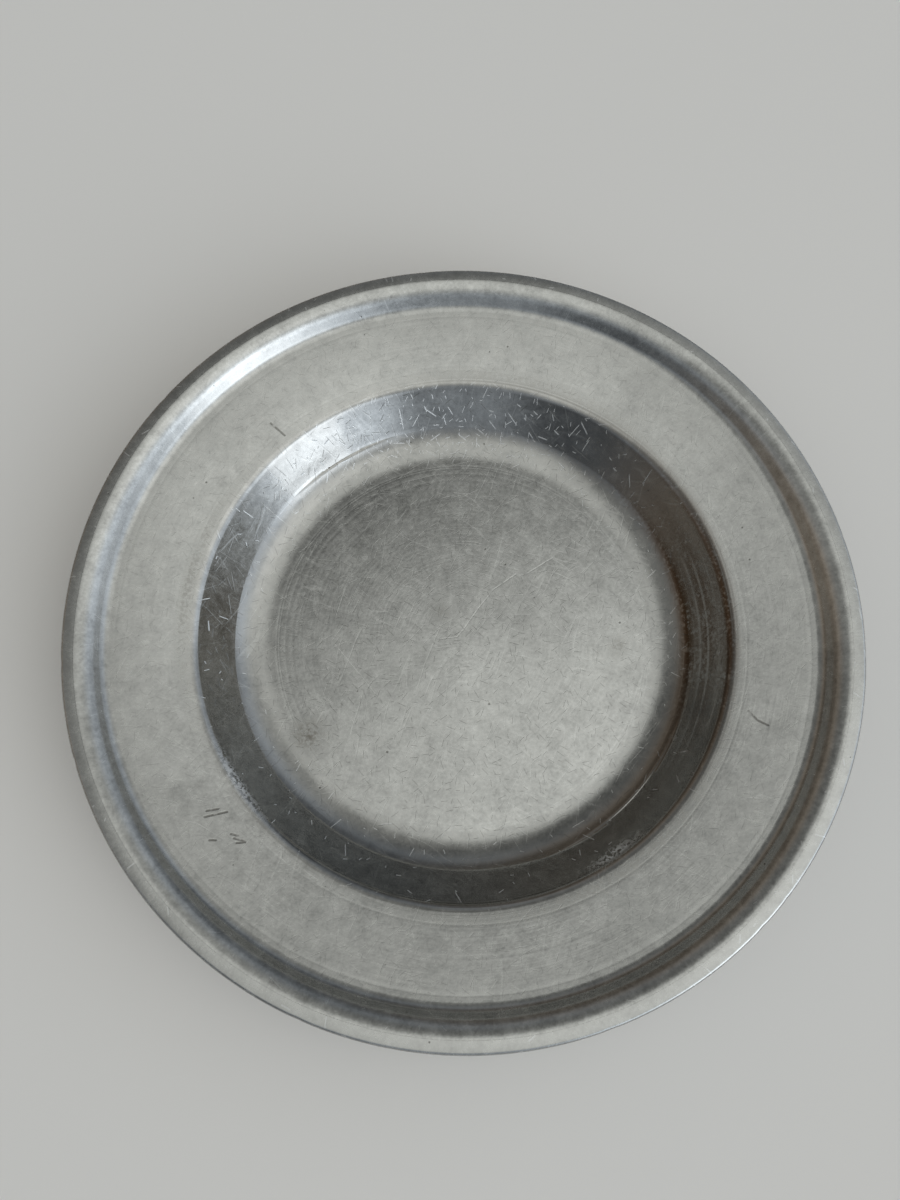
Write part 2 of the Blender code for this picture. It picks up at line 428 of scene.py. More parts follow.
# %% Turn a section and bend it as handling did
OVAL_SHARE, OVAL_TURN = 0.0026, np.radians(-50)
RIM_LIFT, RIM_LIFT_TURN = 0.18, np.radians(20)
LIFT_FROM, LIFT_TO = 56, 90
RIM_WAVES = np.array([
    # waves in one turn, height, start in radians
    [5, 0.05, 1.0],
    [9, 0.03, 0.0],
])
DENTS = np.array([
    # x, y, size, depth
    [-63.0, -36.0, 4.0, 0.09],
    [41.0, 60.0, 5.5, 0.10],
    [-22.0, 70.0, 4.5, 0.07],
    [70.0, -22.0, 3.5, 0.07],
    [-73.0, 12.0, 5.0, 0.06],
    [30.0, -66.0, 5.0, 0.07],
    [13.0, -21.0, 6.5, 0.035],
    [-28.0, 17.0, 5.5, 0.035],
    [22.0, 31.0, 7.0, 0.03],
])


def smooth(value, low, high):
    """Soft step 3t^2 - 2t^3, where t is the value's share of the way from low to high, kept in 0 to 1."""
    t = np.clip((value - low) / (high - low), 0, 1)
    return t * t * (3 - 2 * t)


def waving(angle, waves):
    """Sum of height times cos(count times angle + start), one term for each row of the waves."""
    count, height, start = waves.T
    return (height * np.cos(count * angle[..., None] + start)).sum(axis=-1)


def turned(section, turns):
    """x = r cos a, y = r sin a and z = h, for each point (r, h) of the section and each turn a."""
    angle = np.linspace(0, 2 * np.pi, turns, endpoint=False)
    radius, height = section[:, 0, None], section[:, 1, None]
    flat = np.zeros_like(angle)
    return np.stack([radius * np.cos(angle), radius * np.sin(angle), height + flat], axis=-1)


def handled(points):
    """Departures of an old plate, in mm. Radius: times 1 + share cos 2(a - turn). Height: the rim's lift
    cos 2(a - turn) and a fine ripple, faded in from floor to edge, and the bells of the dents."""
    x, y, z = np.moveaxis(points, -1, 0)
    radius, angle = np.hypot(x, y), np.arctan2(y, x)
    oval = 1 + OVAL_SHARE * np.cos(2 * (angle - OVAL_TURN))
    outer = smooth(radius, LIFT_FROM, LIFT_TO)
    lift = RIM_LIFT * np.cos(2 * (angle - RIM_LIFT_TURN)) + waving(angle, RIM_WAVES)
    dent_x, dent_y, size, depth = DENTS.T
    away = (x[..., None] - dent_x) ** 2 + (y[..., None] - dent_y) ** 2
    dent = (depth * np.exp(-away / size**2)).sum(axis=-1)
    standing = smooth(z, 0.0, THICKNESS)
    return np.stack([x * oval, y * oval, z + outer * lift - standing * dent], axis=-1)


print("oval: radius times 1 plus or minus", OVAL_SHARE)

# %% Cut the ledge where the crease is still crisp
TURNS = 400
LEDGE_FADE = 2.5
CREASES = np.radians([[-45.0, 24.0], [124.0, 16.0]])


def bell(value, middle, half_width):
    """exp(-((value - middle) / half width)^2)"""
    return np.exp(-(((value - middle) / half_width) ** 2))


def turn_bell(angle, middle, half_width):
    """A bell round the axis: the angle from the middle is taken the short way round."""
    return bell(np.angle(np.exp(1j * (angle - middle))), 0, half_width)


def crisp_ledge(points):
    """Where the crease is still crisp, the foot of the wall is cut back to a narrow ledge: the height lost
    is the distance out from the crease, up to the ledge's width, times the difference of the two slopes'
    tangents. It fades out up the wall."""
    out = np.hypot(points[..., 0], points[..., 1]) - WALL_FOOT[0]
    angle = np.arctan2(points[..., 1], points[..., 0])
    crisp = np.clip(sum(turn_bell(angle, *crease) for crease in CREASES), 0, 1)
    fall = np.tan(np.radians(WALL_LOW)) - np.tan(np.radians(LEDGE_SLOPE))
    lost = fall * np.clip(out, 0, LEDGE_WIDTH) * bell(out, 0, LEDGE_FADE) * crisp
    return points - np.stack([0 * lost, 0 * lost, lost], axis=-1)


sheet_points = turned(sheet_section, TURNS)
sheet_points[: len(upper_line)] = crisp_ledge(sheet_points[: len(upper_line)])
sheet_points = handled(sheet_points)
print("sheet grid:", sheet_points.shape, "lowest", sheet_points[..., 2].min().round(3), "mm")


# %% Put a grid into a mesh
SHARP_ANGLE = np.radians(38)


def grid_faces(rows, turns, ring):
    """Corner numbers of the quads between each row and the next, and between each turn and the next. A ring
    also joins its last row to its first."""
    row = np.arange(rows if ring else rows - 1)[:, None]
    column = np.arange(turns)[None, :]
    next_row, next_column = (row + 1) % rows, (column + 1) % turns
    corners = [row * turns + column, next_row * turns + column]
    corners += [next_row * turns + next_column, row * turns + next_column]
    return np.stack(corners, axis=-1).reshape(-1, 4)


def mesh_of(name, points, triangles, quads):
    """Mesh from an array of points in mm and the corner numbers of its triangles and quads."""
    corners = np.concatenate([triangles.ravel(), quads.ravel()])
    quad_starts = triangles.size + 4 * np.arange(len(quads))
    starts = np.concatenate([3 * np.arange(len(triangles)), quad_starts])
    mesh = bpy.data.meshes.new(name)
    mesh.vertices.add(len(points))
    mesh.vertices.foreach_set("co", (points * MM).astype(np.float32).ravel())
    mesh.loops.add(len(corners))
    mesh.loops.foreach_set("vertex_index", corners.astype(np.int32))
    mesh.polygons.add(len(starts))
    mesh.polygons.foreach_set("loop_start", starts.astype(np.int32))
    mesh.update(calc_edges=True)
    mesh.validate()
    mesh.shade_smooth()
    mesh.set_sharp_from_angle(angle=SHARP_ANGLE)
    return mesh


def give_attribute(mesh, name, values):
    """Stores one number for each point of the mesh, which a material reads by its name."""
    mesh.attributes.new(name, "FLOAT", "POINT").data.foreach_set("value", values.astype(np.float32).ravel())


print("quads between two rows of four turns:", len(grid_faces(2, 4, ring=False)))


# %% Make the sheet's mesh
def sheet_mesh(points):
    """The first and the last row lie on the axis: each shrinks to one pole, closed by a fan of triangles."""
    rows, turns, _ = points.shape
    body = points[1:-1].reshape(-1, 3)
    poles = len(body) + np.arange(2)
    column = np.arange(turns)
    last = (rows - 3) * turns
    first_fan = np.stack([np.full(turns, poles[0]), column, (column + 1) % turns], axis=-1)
    last_fan = np.stack([last + column, np.full(turns, poles[1]), last + (column + 1) % turns], axis=-1)
    everything = np.concatenate([body, points[0, :1], points[-1, :1]])
    fans = np.concatenate([first_fan, last_fan])
    return mesh_of("sheet", everything, fans, grid_faces(rows - 2, turns, ring=False))


def by_point(values):
    """One value for each section point, spread to all turns, in the order of the sheet's points."""
    return np.concatenate([np.repeat(values[1:-1], TURNS), values[[0, -1]]])


mesh_sheet = sheet_mesh(sheet_points)
for title, values in zip(("polish", "wear", "grime"), sheet_finish.T):
    give_attribute(mesh_sheet, title, by_point(values))
print("sheet:", len(mesh_sheet.vertices), "points,", len(mesh_sheet.polygons), "faces")

# %% [markdown]
# ## The edging band and the solder
#
# Outside the crest lies a narrow band with a rounded nose, soldered on from behind. A bevelled curve could
# make it, but its section is a closed ring of points, so the same grid serves, joined to itself both ways,
# and the nose can take nicks. The solder under it is a small fillet that ran a little unevenly, which a
# ripple in its size shows.

# %% Section of the band
SEAM = 0.03
PLATE_RADIUS, EDGE_HEIGHT, NOSE_ROUNDING = 90.0, 22.05, 0.9
NOSE_TOP, NOSE_UNDER = 78, -60
BAND_DEPTH, BAND_CROWN, BAND_DROP = 3.0, 0.05, 0.01
HEEL_SETBACK, HEEL_ROUNDING, HEEL_LEAN = 0.9, 0.4, 2
TOP_POINTS, NOSE_POINTS = 14, 16
# Points of the section between which its underside begins
UNDER_FROM, UNDER_TO = 17, 22


def nose_points(angles):
    """Circle of the nose: centre plus rounding times (cos, sin) of each angle above the horizon."""
    angles = np.radians(angles)[:, None]
    centre = np.array([PLATE_RADIUS - NOSE_ROUNDING, EDGE_HEIGHT])
    return centre + NOSE_ROUNDING * np.concatenate([np.cos(angles), np.sin(angles)], axis=1)


nose = nose_points(np.linspace(NOSE_TOP, NOSE_UNDER, NOSE_POINTS))
band_start = arris[-1] + np.array([SEAM, -BAND_DROP])
top_share = np.linspace(0, 1, TOP_POINTS)[:, None]
crown = BAND_CROWN * 4 * top_share * (1 - top_share) * np.array([0, 1])
band_top = band_start + top_share * (nose[0] - band_start) + crown
bottom_height = crest_line[-1, 1] - BAND_DEPTH
heel = slope_arc([0, 0], NOSE_UNDER - 180, -HEEL_LEAN - 180, HEEL_ROUNDING, 5)
heel += np.array([nose[-1, 0] - HEEL_SETBACK, bottom_height]) - heel[-1]
lap = np.array([bevel_foot[0] + SEAM + (bottom_height - bevel_foot[1]) * back_lean, bottom_height])
inner_foot = bevel_foot + np.array([SEAM, 0])
band_section = np.concatenate([band_top[:-1], nose, heel, lap[None], inner_foot[None]])
top_wear, nose_wear = np.linspace(0.9, 0.1, TOP_POINTS - 1), np.linspace(0.5, 0.0, NOSE_POINTS)
band_wear = np.concatenate([top_wear, nose_wear, np.zeros(len(heel) + 2)])
band_under = smooth(np.arange(len(band_section)), UNDER_FROM, UNDER_TO)
print("section of the band:", len(band_section), "points, nose to", nose[:, 0].max().round(2), "mm")

# %% Mesh of the band
NICKS = np.array([
    # turn in degrees, length in mm, depth in mm
    [-47, 0.9, 0.10],
    [-71, 1.4, 0.07],
    [12, 0.8, 0.08],
    [96, 1.2, 0.06],
    [143, 0.9, 0.10],
    [187, 1.1, 0.09],
    [201, 0.7, 0.08],
    [248, 1.3, 0.07],
    [318, 0.8, 0.06],
])
NICKS_FROM, NICKS_TO = 88.4, 89.6


def ring_mesh(name, points):
    """Mesh of a closed section carried once round, joined to itself along the section and round the axis."""
    rows, turns, _ = points.shape
    no_triangles = np.zeros((0, 3), int)
    return mesh_of(name, points.reshape(-1, 3), no_triangles, grid_faces(rows, turns, ring=True))


def nicked(points):
    """Small knocks on the nose: each draws the points in by its depth times a bell round its turn."""
    angle = np.arctan2(points[..., 1], points[..., 0])
    turn_at, length, depth = NICKS.T
    off = np.angle(np.exp(1j * (angle[..., None] - np.radians(turn_at)))) * PLATE_RADIUS
    knock = (depth * np.exp(-((off / length) ** 2))).sum(axis=-1)
    radius = np.hypot(points[..., 0], points[..., 1])
    share = 1 - knock * smooth(radius, NICKS_FROM, NICKS_TO) / radius
    return points * np.stack([share, share, np.ones_like(share)], axis=-1)


BAND_TURNS = 720
mesh_band = ring_mesh("band", nicked(handled(turned(band_section, BAND_TURNS))))
give_attribute(mesh_band, "wear", np.repeat(band_wear, BAND_TURNS))
give_attribute(mesh_band, "under", np.repeat(band_under, BAND_TURNS))
print("band:", len(mesh_band.vertices), "points,", len(mesh_band.polygons), "faces")

# %% Solder fillet
SOLDER_LEG, SOLDER_PULL = 1.0, np.array([0.22, -0.30])
SOLDER_WAVES = np.array([[7, 1.0, 0.6], [17, 1.0, 2.0], [43, 0.7, 0.0], [71, 0.5, 0.0]])
solder_top = np.array([lap[0] + SEAM, bottom_height - SEAM])
solder_foot = solder_top - SOLDER_LEG * np.array([back_lean, 1])
solder_tip = solder_top + np.array([SOLDER_LEG, 0])
hollow_pull = solder_top + SOLDER_PULL
solder_section = np.concatenate([solder_top[None], bow(solder_tip, hollow_pull, solder_foot, 9)])


def uneven(points, least):
    """Draws a fillet towards its inner corner by a share that wanders with the solder's waves, from the
    least share up to 1."""
    angle = np.linspace(0, 2 * np.pi, points.shape[1], endpoint=False)
    wander = waving(angle, SOLDER_WAVES) / SOLDER_WAVES[:, 1].sum()
    share = least + (1 - least) * (wander + 1) / 2
    corner = points[:1]
    return corner + (points - corner) * share[None, :, None]


solder_points = handled(uneven(turned(solder_section, BAND_TURNS), least=0.6))
mesh_solder = ring_mesh("solder", solder_points)
print("solder:", len(mesh_solder.vertices), "points")

# %% [markdown]
# ## Grain, rings and scratches as node groups
#
# The pieces share their marks: a fine grain, clouds of tarnish, pits and short nicks. The sheet also has
# lathe rings, hairlines and long scratches. They could be drawn into an image, but here each is a group
# with named inputs, built once and placed in a material with its own values. It reads the place on the
# object in metres, so a mark has a real size and stays where it is.


# %% Grain and clouds
MOTTLE_SCALE, CLOUD_SCALE = 300, 42
PIT_SIZE, PIT_EDGE, PIT_CHANCE = 0.07, 0.02, (0.42, 0.47)


def make_grain():
    """Grain: fine noise under a millimetre. Mottle: blotches of a few. Cloud: slow noise over centimetres.
    Pit: dots in a few of many cells."""
    group, given, result = new_group(
        "pewter grain",
        [("Vector", "Vector", (0, 0, 0)), ("Grain Size", "Float", 0.0008), ("Pit Cell", "Float", 0.004)],
        [("Grain", "Float"), ("Mottle", "Float"), ("Cloud", "Float"), ("Pit", "Float")],
    )

    def noise(scale, detail, roughness):
        inputs = {"Vector": given["Vector"], "Scale": scale, "Detail": detail, "Roughness": roughness}
        return wire(group, "TexNoise", inputs).outputs[0]

    group.links.new(noise(calc(group, "DIVIDE", 1, given["Grain Size"]), 2, 0.6), result["Grain"])
    group.links.new(noise(MOTTLE_SCALE, 3, 0.65), result["Mottle"])
    group.links.new(noise(CLOUD_SCALE, 3, 0.55), result["Cloud"])
    cell_scale = calc(group, "DIVIDE", 1, given["Pit Cell"])
    cells = wire(group, "TexVoronoi", {"Vector": given["Vector"], "Scale": cell_scale})
    chance = wire(group, "SeparateColor", {0: cells.outputs["Color"]}).outputs
    size = calc(group, "MULTIPLY", chance["Green"], PIT_SIZE)
    dot = soft_step(group, calc(group, "SUBTRACT", cells.outputs["Distance"], size), PIT_EDGE, -PIT_EDGE)
    rare = soft_step(group, chance["Red"], *PIT_CHANCE)
    group.links.new(calc(group, "MULTIPLY", dot, rare), result["Pit"])
    return group


grain_group = make_grain()
print("group:", grain_group.name)


# %% Lathe rings
def make_rings():
    """Noise of one number, the distance from the axis over the pitch, so that every mark is a circle. A slow
    noise over the surface lets each circle fade in and out on its way round."""
    group, given, result = new_group(
        "lathe rings",
        [("Vector", "Vector", (0, 0, 0)), ("Pitch", "Float", 0.0008)],
        [("Ring", "Float")],
    )
    flat = wire(group, "VectorMath", {0: given["Vector"], 1: (1, 1, 0)}, operation="MULTIPLY").outputs[0]
    radius = wire(group, "VectorMath", {0: flat}, operation="LENGTH").outputs["Value"]
    place = calc(group, "DIVIDE", radius, given["Pitch"])
    inputs = {"W": place, "Scale": 1.0, "Detail": 2.5}
    ring = wire(group, "TexNoise", inputs, noise_dimensions="1D").outputs[0]
    fade = wire(group, "TexNoise", {"Vector": given["Vector"], "Scale": 55, "Detail": 1}).outputs[0]
    strength = soft_step(group, fade, 0.30, 0.65)
    centred = calc(group, "SUBTRACT", ring, 0.5)
    group.links.new(calc(group, "MULTIPLY_ADD", centred, strength, 0.5), result["Ring"])
    return group


rings_group = make_rings()
print("group:", rings_group.name)


# %% Hairlines
def make_hairlines():
    """Noise drawn out along one direction; where it passes through one half, it leaves a thin long line. A
    second noise breaks the lines up."""
    group, given, result = new_group(
        "hairlines",
        [
            ("Vector", "Vector", (0, 0, 0)),
            ("Direction", "Float", 0.0),
            ("Length", "Float", 0.03),
            ("Spacing", "Float", 0.002),
            ("Fineness", "Float", 0.02),
        ],
        [("Line", "Float")],
    )
    turned_place = wire(
        group,
        "VectorRotate",
        {"Vector": given["Vector"], "Angle": given["Direction"]},
        rotation_type="Z_AXIS",
    ).outputs[0]
    axis = wire(group, "SeparateXYZ", {0: turned_place}).outputs
    along = calc(group, "DIVIDE", axis["X"], given["Length"])
    across = calc(group, "DIVIDE", axis["Y"], given["Spacing"])
    place = wire(group, "CombineXYZ", {0: along, 1: across, 2: given["Direction"]}).outputs[0]
    drawn = wire(group, "TexNoise", {"Vector": place, "Scale": 1.0, "Detail": 1.5}).outputs[0]
    off = calc(group, "ABSOLUTE", calc(group, "SUBTRACT", drawn, 0.5))
    line = soft_step(group, calc(group, "DIVIDE", off, given["Fineness"]), 1.0, 0.2)
    patches = wire(group, "TexNoise", {"Vector": turned_place, "Scale": 110, "Detail": 2}).outputs[0]
    group.links.new(calc(group, "MULTIPLY", line, soft_step(group, patches, 0.48, 0.62)), result["Line"])
    return group


hairline_group = make_hairlines()
print("group:", hairline_group.name)


# %% Short nicks
def make_nicks():
    """Cells scattered at random. Round each cell's own point lies a short stroke, turned by a chance angle:
    the place is turned with it, and a mask keeps what is near its x axis. Share is the part of the cells
    that have a stroke."""
    group, given, result = new_group(
        "short nicks",
        [
            ("Vector", "Vector", (0, 0, 0)),
            ("Cell", "Float", 0.004),
            ("Length", "Float", 0.0016),
            ("Width", "Float", 0.00020),
            ("Share", "Float", 0.5),
        ],
        [("Nick", "Float")],
    )
    flat = wire(group, "VectorMath", {0: given["Vector"], 1: (1, 1, 0)}, operation="MULTIPLY").outputs[0]
    scale = calc(group, "DIVIDE", 1, given["Cell"])
    cells = wire(group, "TexVoronoi", {"Vector": flat, "Scale": scale}, voronoi_dimensions="2D").outputs
    chance = wire(group, "SeparateColor", {0: cells["Color"]}).outputs
    off = wire(group, "VectorMath", {0: flat, 1: cells["Position"]}, operation="SUBTRACT").outputs[0]
    angle = calc(group, "MULTIPLY", chance["Red"], 2 * np.pi)
    local = wire(group, "VectorRotate", {"Vector": off, "Angle": angle}, rotation_type="Z_AXIS").outputs[0]
    axis = wire(group, "SeparateXYZ", {0: local}).outputs
    length = calc(group, "MULTIPLY", given["Length"], calc(group, "MULTIPLY_ADD", chance["Blue"], 0.8, 0.2))
    beyond = calc(group, "DIVIDE", calc(group, "ABSOLUTE", axis["X"]), length)
    aside = calc(group, "DIVIDE", calc(group, "ABSOLUTE", axis["Y"]), given["Width"])
    stroke = calc(group, "MULTIPLY", soft_step(group, beyond, 1.0, 0.6), soft_step(group, aside, 1.0, 0.3))
    drawn = calc(group, "LESS_THAN", chance["Green"], given["Share"])
    group.links.new(calc(group, "MULTIPLY", stroke, drawn), result["Nick"])
    return group


nick_group = make_nicks()
print("group:", nick_group.name)


# %% One long scratch
def make_scratch():
    """Distance from a straight line between two points on the plate, seen from above: the share h of the way
    along, kept in 0 to 1, gives the nearest point, and a mask keeps what lies within the width."""
    group, given, result = new_group(
        "long scratch",
        [
            ("Vector", "Vector", (0, 0, 0)),
            ("Start", "Vector", (0, 0, 0)),
            ("End", "Vector", (0, 0, 0)),
            ("Width", "Float", 0.00015),
        ],
        [("Scratch", "Float")],
    )

    def vector(operation, a, b):
        return wire(group, "VectorMath", {0: a, 1: b}, operation=operation).outputs

    flat = vector("MULTIPLY", given["Vector"], (1, 1, 0))[0]
    run = vector("SUBTRACT", given["End"], given["Start"])[0]
    off = vector("SUBTRACT", flat, given["Start"])[0]
    dots = [vector("DOT_PRODUCT", a, run)["Value"] for a in (off, run)]
    share = wire(group, "Clamp", {0: calc(group, "DIVIDE", *dots)}).outputs[0]
    reach = wire(group, "VectorMath", {0: run, "Scale": share}, operation="SCALE").outputs[0]
    away = vector("DISTANCE", off, reach)["Value"]
    mask = soft_step(group, calc(group, "DIVIDE", away, given["Width"]), 1.0, 0.3)
    group.links.new(mask, result["Scratch"])
    return group


scratch_group = make_scratch()
print("group:", scratch_group.name)

# %% [markdown]
# ## The finish of pewter
#
# Satin pewter is a rough mirror of a warm dark grey. Where it is polished it is smoother; where it is
# rubbed it is lighter; and dirt is brown and dull. One group turns the masks into a colour, a roughness and
# a height, and all three pieces use it with their own marks. Each material could mix its own, but then a
# change to the metal would have to be made three times.


# %% From masks to colour, roughness and height
# The nick colour is light: a painted highlight for the light that nicks catch, also used for the painted
# glint patches
SATIN_COLOUR, NICK_HIGHLIGHT_COLOUR = (0.398, 0.402, 0.392, 1), (0.80, 0.82, 0.83, 1)
PIT_COLOUR, DIRT_COLOUR = (0.10, 0.095, 0.085, 1), (0.13, 0.115, 0.092, 1)
STAIN_COLOUR = (0.09, 0.064, 0.044, 1)


def make_finish():
    """Starts from the satin colour and roughness and lays grain, wear, scratches, nicks and glint patches
    painted light as highlights, pits, grime and stain over it, one after the other."""
    masks = ["Polish", "Wear", "Grime", "Stain", "Grain", "Mottle", "Cloud", "Ring"]
    masks += ["Scratch", "Nick", "Pit"]
    group, given, result = new_group(
        "pewter finish",
        [
            ("Satin Color", "Color", SATIN_COLOUR),
            ("Satin Roughness", "Float", 0.23),
            ("Polish Roughness", "Float", 0.13),
            ("Speckle", "Float", 1.15),
            *[(name, "Float", 0.0) for name in masks],
        ],
        [("Color", "Color"), ("Roughness", "Float"), ("Height", "Float")],
    )

    def add(total, *terms):
        for socket, factor in terms:
            total = calc(group, "MULTIPLY_ADD", socket, factor, total)
        return total

    grain, mottle, cloud, ring = [
        calc(group, "SUBTRACT", given[name], 0.5) for name in ("Grain", "Mottle", "Cloud", "Ring")
    ]
    speckle = calc(group, "MULTIPLY", add(0.0, (grain, 0.50), (mottle, 0.75)), given["Speckle"])
    light = add(1.0, (speckle, 1.0), (cloud, 0.35), (ring, 0.12), (given["Wear"], 0.15))
    light = add(light, (given["Polish"], -0.10), (given["Scratch"], 0.30))
    grey = wire(group, "VectorMath", {0: given["Satin Color"], "Scale": light}, operation="SCALE").outputs[0]
    # Nicks and the glint patches take the light nick colour, a painted highlight
    nick_highlight_grey = blend(group, calc(group, "MULTIPLY", given["Nick"], 0.9), grey, NICK_HIGHLIGHT_COLOUR)
    pitted = blend(group, calc(group, "MULTIPLY", given["Pit"], 0.65), nick_highlight_grey, PIT_COLOUR)
    dirt_edge = calc(group, "MULTIPLY_ADD", grain, 1.2, given["Mottle"])
    dirt = calc(group, "MULTIPLY", given["Grime"], soft_step(group, dirt_edge, 0.25, 0.75))
    dirty = blend(group, calc(group, "MULTIPLY", dirt, 0.75), pitted, DIRT_COLOUR)
    brown = calc(group, "MULTIPLY", given["Stain"], soft_step(group, dirt_edge, -0.1, 0.6))
    stained = blend(group, calc(group, "MULTIPLY", brown, 0.9), dirty, STAIN_COLOUR)
    group.links.new(stained, result["Color"])

    smooth_part = calc(group, "MULTIPLY", given["Polish"], calc(group, "SUBTRACT", 1, given["Nick"]))
    drop = calc(group, "SUBTRACT", given["Polish Roughness"], given["Satin Roughness"])
    rough = calc(group, "MULTIPLY_ADD", smooth_part, drop, given["Satin Roughness"])
    rough = add(rough, (grain, 0.10), (mottle, 0.12), (given["Scratch"], 0.10), (given["Nick"], 0.40))
    rough = add(rough, (dirt, 0.18))
    group.links.new(wire(group, "Clamp", {0: rough, 1: 0.08, 2: 0.8}).outputs[0], result["Roughness"])

    satin = calc(group, "MULTIPLY_ADD", given["Polish"], -0.7, 1)
    height = calc(group, "MULTIPLY", add(0.0, (grain, 0.45), (ring, 0.4)), satin)
    height = add(height, (given["Scratch"], -0.5), (given["Nick"], -0.7), (given["Pit"], -0.8))
    group.links.new(height, result["Height"])
    return group


finish_group = make_finish()
print("group:", finish_group.name)


# %% Helpers for a metal material
def new_metal(name):
    """Bare metal material; returns it with its tree, its shader and the place on the object."""
    material = bpy.data.materials.new(name)
    material.use_nodes = True
    tree = material.node_tree
    shader = tree.nodes["Principled BSDF"]
    shader.inputs["Metallic"].default_value = 1.0
    return material, tree, shader, wire(tree, "TexCoord").outputs["Object"]


def place_group(tree, group, inputs):
    """Puts a group into a tree and fills its inputs."""
    return wire(tree, "Group", inputs, node_tree=group).outputs


def attribute(tree, name):
    """Number that a mesh stores under this name."""
    return wire(tree, "Attribute", attribute_name=name).outputs["Fac"]


def strongest(tree, *masks):
    """The largest of several masks."""
    top = masks[0]
    for mask in masks[1:]:
        top = calc(tree, "MAXIMUM", top, mask)
    return top


def nicks(tree, place, size, share):
    """Nicks of one size, given as cell, length and width in metres, in a share of the cells."""
    sizes = dict(zip(("Cell", "Length", "Width"), size))
    return place_group(tree, nick_group, {"Vector": place, "Share": share, **sizes})["Nick"]


def dress(tree, shader, finish, relief):
    """Joins a finish to the shader; the relief is the depth of the height's full range, in metres."""
    tree.links.new(finish["Color"], shader.inputs["Base Color"])
    tree.links.new(finish["Roughness"], shader.inputs["Roughness"])
    bump = wire(tree, "Bump", {"Height": finish["Height"], "Distance": relief, "Strength": 1.0})
    tree.links.new(bump.outputs["Normal"], shader.inputs["Normal"])


print("material helpers ready")

# %% [markdown]
# ## The sheet's material
#
# The sheet shows the most: satin floor and border, a dark polished wall full of short nicks painted light as
# highlights, two patches of painted glint high on the wall, a brown stain on the right of the wall and its
# shoulder, one long pale scratch across the floor and groups of dark strokes on the border. They could be
# painted by hand, but a table of places is shorter and can be changed: every broad mask comes from the mesh
# or from the place round the plate, and every fine one from a group.

# %% Masks that follow the turn
LONG_SCRATCH = ((-5.4, -0.4), (-1.2, 0.1), (0.4, 1.9), (4.2, 7.4), (8.0, 12.3), (13.7, 16.3))
PALE_STROKES = (
    # start and end in mm, seen from above
    *zip(LONG_SCRATCH, LONG_SCRATCH[1:]),
    ((16.7, 16.6), (23.2, 20.7)),
    ((-31.0, -2.0), (-21.0, -14.0)),
)
DARK_STROKES = (
    ((-56.5, -43.6), (-51.9, -42.5)),
    ((-56.2, -42.3), (-53.5, -41.8)),
    ((-50.6, -47.2), (-49.1, -47.6)),
    ((-49.9, -48.1), (-47.7, -48.7)),
    ((-49.4, -49.1), (-47.5, -48.9)),
    ((-55.0, -48.5), (-53.7, -48.5)),
    ((-47.2, 51.0), (-43.8, 48.2)),
    ((64.5, -20.2), (66.3, -22.4)),
    ((66.3, -22.4), (68.4, -23.6)),
)
SPOTS = np.array([
    # x, y, size, strength
    [-37.0, -24.0, 3.5, 1.0],
    [38.5, -2.5, 2.2, 0.6],
    [-5.5, 6.5, 2.2, 0.5],
])
MARKS = (
    # mask, strength, turn and half width in degrees, radius and half width in mm
    ("knocks", 0.10, 0, np.inf, 0, np.inf),
    ("knocks", 0.60, 88, 34, 0, np.inf),
    # painted glint: bright patches painted high on the wall for the window's reflection in slight dents
    ("painted_glint", 1.6, -57, 5, 61.2, 0.8),
    ("painted_glint", 1.2, -144, 8, 62.0, 0.8),
    ("stain", 0.15, 0, np.inf, 54.8, 1.6),
    ("stain", 0.15, 0, np.inf, 62.6, 1.4),
    ("stain", 0.85, 4, 42, 54.8, 1.6),
    ("stain", 0.85, 4, 42, 62.6, 1.4),
    ("stain", 1.0, 4, 46, 58.6, 2.8),
    ("soot", 1.0, -105, 42, 62.2, 1.2),
    ("soot", 0.5, 70, 40, 63.4, 0.9),
    ("dirt", 0.55, 172, 24, 65.2, 1.5),
    ("dirt", 0.35, 75, 40, 65.2, 1.5),
    ("dirt", 0.5, -60, 40, 65.2, 1.5),
)


def stroke_mask(tree, place, strokes, width):
    """The strongest of several strokes, each given by its two ends in mm, broken up by one noise."""
    masks = []
    for start, end in strokes:
        ends = {"Start": (start[0] * MM, start[1] * MM, 0), "End": (end[0] * MM, end[1] * MM, 0)}
        masks.append(place_group(tree, scratch_group, {"Vector": place, "Width": width, **ends})["Scratch"])
    breaks = wire(tree, "TexNoise", {"Vector": place, "Scale": 600, "Detail": 2}).outputs[0]
    return calc(tree, "MULTIPLY", strongest(tree, *masks), soft_step(tree, breaks, 0.30, 0.50))


def turn_marks(points):
    """Masks for single places. Each row of the table adds its strength times a bell round the turn times a
    bell over the radius, and an endless half width leaves its bell out. Knocks: share of cells with a
    nick. Painted glint: two patches high on the wall where bright grains are painted in as a highlight, for
    the window's reflection in slight dents. Stain: brown on the right of the wall. Soot: dark
    lines at the near side of the shoulder. Dirt: what lodged along the inner edge of the border, and in
    spots on the floor. Scoured: how hard the scouring pad rubbed, most on the floor and least on the rim."""
    radius = np.hypot(points[..., 0], points[..., 1])
    angle = np.arctan2(points[..., 1], points[..., 0])
    masks = {row[0]: np.zeros_like(radius) for row in MARKS}
    for title, strength, middle, half_turn, ring, half_width in MARKS:
        round_turn = turn_bell(angle, *np.radians([middle, half_turn]))
        masks[title] += strength * round_turn * bell(radius, ring, half_width)
    spot_x, spot_y, size, strength = SPOTS.T
    away = (points[..., 0, None] - spot_x) ** 2 + (points[..., 1, None] - spot_y) ** 2
    masks["dirt"] += (strength * np.exp(-away / size**2)).sum(axis=-1)
    masks["scoured"] = 1 - 0.5 * smooth(radius, 60, 66) - 0.4 * smooth(radius, 79, 83)
    return masks


for title, values in turn_marks(sheet_points).items():
    values[len(upper_line):] = 0.0
    give_attribute(mesh_sheet, title, np.concatenate([values[1:-1].ravel(), values[[0, -1], 0]]))
    print(title, "up to", values.max().round(2))


